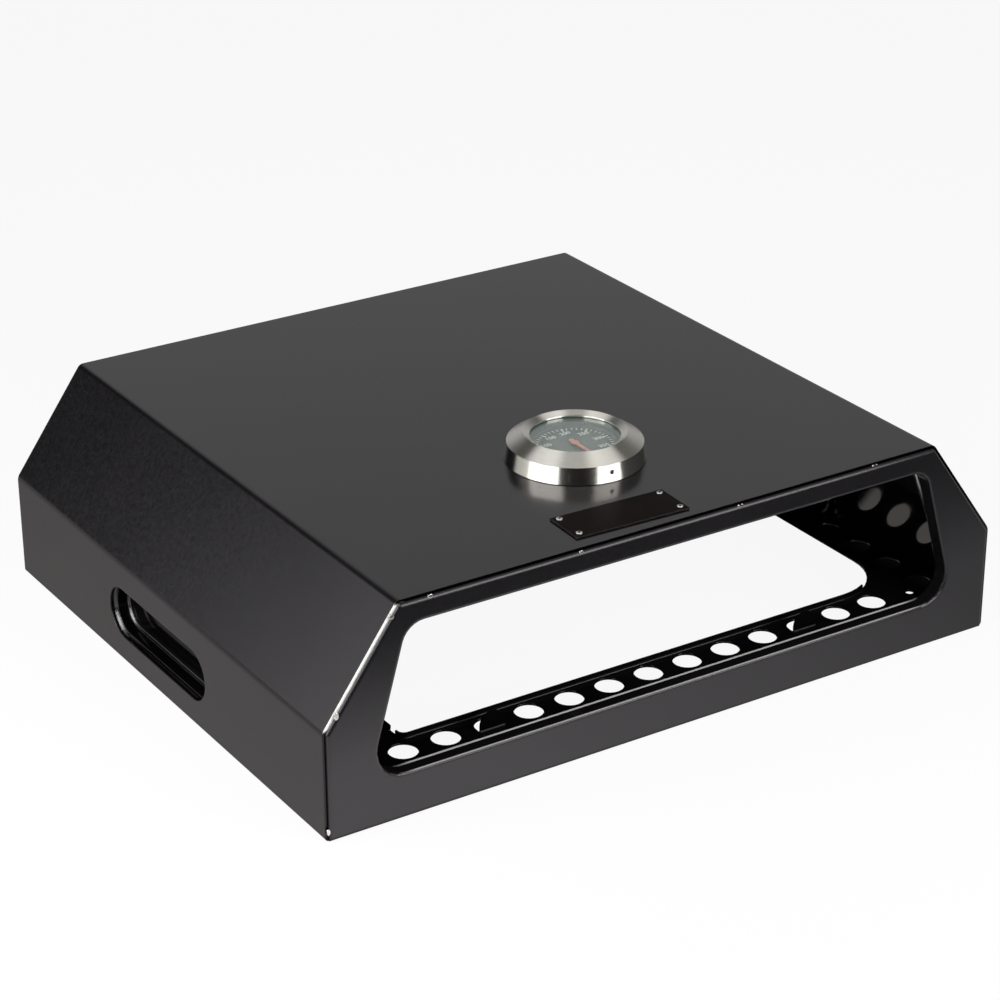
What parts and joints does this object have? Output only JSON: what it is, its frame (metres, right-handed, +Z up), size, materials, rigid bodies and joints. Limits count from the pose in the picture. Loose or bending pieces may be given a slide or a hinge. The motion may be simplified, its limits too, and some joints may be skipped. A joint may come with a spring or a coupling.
{
  "type": "barbecue pizza oven",
  "caption": "Folded sheet-steel pizza oven that sits on a barbecue, with a letterbox mouth, a perforated stone tray, side finger recesses and a lid thermometer.",
  "frame": {"origin": "middle of the footprint, at the height of the surface it stands on", "axes": "+Z up, the mouth faces -Y, +X to the right of someone behind the oven facing the mouth's way"},
  "size_m": [0.4, 0.339, 0.1289],
  "materials": {
    "satin_black_paint": "satin",
    "gloss_black_enamel": "gloss",
    "plate_black": "matt",
    "brushed_steel": "brushed",
    "zinc_steel": "zinc plated",
    "clear_glass": "clear",
    "dial_grey": "matt",
    "needle_orange": "matt",
    "black_rubber": "matt",
    "rivet_steel": "bright"
  },
  "bodies": {
    "oven": {"outer_shell": "satin_black_paint", "front_panel": "satin_black_paint", "back_panel": "satin_black_paint", "stone_tray": "gloss_black_enamel", "left_side_liner": "gloss_black_enamel", "right_side_liner": "gloss_black_enamel", "left_handle_cup": "gloss_black_enamel", "right_handle_cup": "gloss_black_enamel", "nameplate": "plate_black", "nameplate_rivet_1": "rivet_steel", "nameplate_rivet_2": "rivet_steel", "nameplate_rivet_3": "rivet_steel", "nameplate_rivet_4": "rivet_steel", "thermometer_bezel": "brushed_steel", "thermometer_glass": "clear_glass", "thermometer_dial": "dial_grey", "thermometer_case": "zinc_steel", "thermometer_gasket": "black_rubber", "thermometer_washer": "zinc_steel", "thermometer_nut": "zinc_steel", "thermometer_stem": "brushed_steel", "bimetal_coil": "brushed_steel"},
    "pointer": {"thermometer_needle": "needle_orange", "thermometer_spindle": "brushed_steel"}
  },
  "joints": [
    {"name": "pointer_sweep", "type": "hinge", "parent": "oven", "child": "pointer", "pos_m": [-0.0017, -0.0796, 0.1213], "axis": [0, 0, -1], "range_deg": [0, 335], "stiffness_Nm_per_rad": 0.00002}
  ]
}
